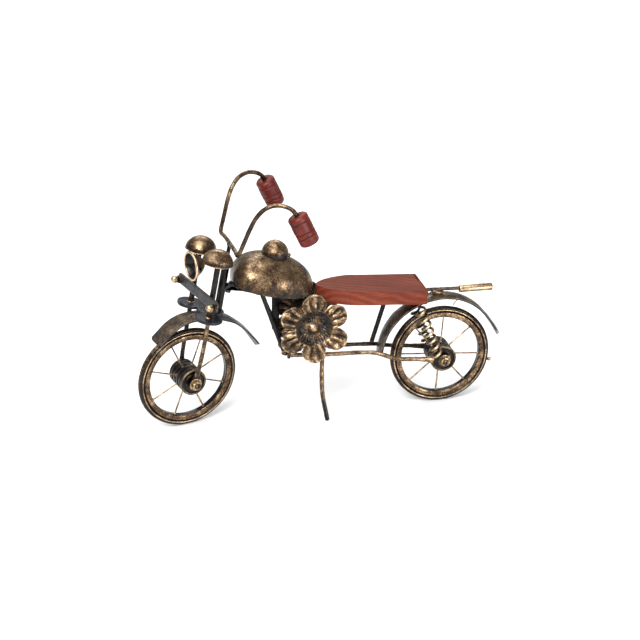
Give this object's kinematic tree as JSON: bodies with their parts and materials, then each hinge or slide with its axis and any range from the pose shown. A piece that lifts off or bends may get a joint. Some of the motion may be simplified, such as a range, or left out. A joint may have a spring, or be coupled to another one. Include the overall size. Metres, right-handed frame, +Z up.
{
  "type": "toy motorcycle",
  "caption": "Handmade iron motorcycle ornament, bronze over black, wooden seat and grips, turning wheels and a steering fork.",
  "frame": {"origin": "centre of the outline on the floor", "axes": "+X to the rear of the bike, -Y to its left side, +Z up"},
  "size_m": [0.2723, 0.1004, 0.1766],
  "materials": {
    "antique_bronze": "bronze rubbed over black paint, satin, worn at the edges",
    "blackened_iron": "satin black with bronze on the edges",
    "grey_sheet": "dull blue-grey sheet with bronze edges",
    "seat_wood": "oiled reddish brown plank, arched grain",
    "grip_wood": "stained dark red turned wood"
  },
  "bodies": {
    "frame": {"backbone": "grey_sheet", "head_tube": "blackened_iron", "tank_shell": "antique_bronze", "tank_cap": "antique_bronze", "seat": "seat_wood", "seat_post": "blackened_iron", "rail_left": "antique_bronze", "rail_right": "antique_bronze", "down_tube_left": "blackened_iron", "down_tube_right": "blackened_iron", "cradle_plate": "grey_sheet", "flower_left": "antique_bronze", "flower_right": "antique_bronze", "flower_spacer": "blackened_iron", "kickstand": "antique_bronze", "rear_mudguard": "grey_sheet", "tail_rod": "grey_sheet", "tail_pipe": "antique_bronze", "spring_left": "antique_bronze", "spring_right": "antique_bronze", "rear_axle": "blackened_iron", "rear_nut_left": "antique_bronze", "rear_nut_right": "antique_bronze"},
    "fork": {"steering_stem": "blackened_iron", "fork_crown": "grey_sheet", "fork_leg_left": "antique_bronze", "fork_leg_right": "antique_bronze", "fork_dome_left": "antique_bronze", "fork_dome_right": "antique_bronze", "headlamp_bowl": "antique_bronze", "signal_bar": "grey_sheet", "signal_ball_left": "antique_bronze", "signal_ball_right": "antique_bronze", "front_mudguard": "grey_sheet", "front_axle": "blackened_iron", "front_nut_left": "antique_bronze", "front_nut_right": "antique_bronze", "handlebar": "antique_bronze", "grip_left": "grip_wood", "grip_right": "grip_wood"},
    "front_wheel": {"front_wheel_ring": "antique_bronze", "front_wheel_hub": "blackened_iron", "front_spoke_1": "antique_bronze", "front_spoke_2": "antique_bronze", "front_spoke_3": "antique_bronze", "front_spoke_4": "antique_bronze", "front_spoke_5": "antique_bronze", "front_spoke_6": "antique_bronze", "front_spoke_7": "antique_bronze", "front_spoke_8": "antique_bronze"},
    "rear_wheel": {"rear_wheel_ring": "antique_bronze", "rear_wheel_hub": "blackened_iron", "rear_spoke_1": "antique_bronze", "rear_spoke_2": "antique_bronze", "rear_spoke_3": "antique_bronze", "rear_spoke_4": "antique_bronze", "rear_spoke_5": "antique_bronze", "rear_spoke_6": "antique_bronze", "rear_spoke_7": "antique_bronze", "rear_spoke_8": "antique_bronze"}
  },
  "joints": [
    {"name": "steering", "type": "hinge", "parent": "frame", "child": "fork", "pos_m": [-0.0859, -0.00034, 0.0377], "axis": [0.1925, -0.0342, 0.9807], "range_deg": [-58, 21]},
    {"name": "front_wheel_spin", "type": "hinge", "parent": "fork", "child": "front_wheel", "pos_m": [-0.10038, -0.00512, 0.03759], "axis": [-0.313, 0.945, 0.0944], "continuous": true},
    {"name": "rear_wheel_spin", "type": "hinge", "parent": "frame", "child": "rear_wheel", "pos_m": [0.0876, -0.00034, 0.0377], "axis": [0, 0.9994, 0.0349], "continuous": true}
  ]
}
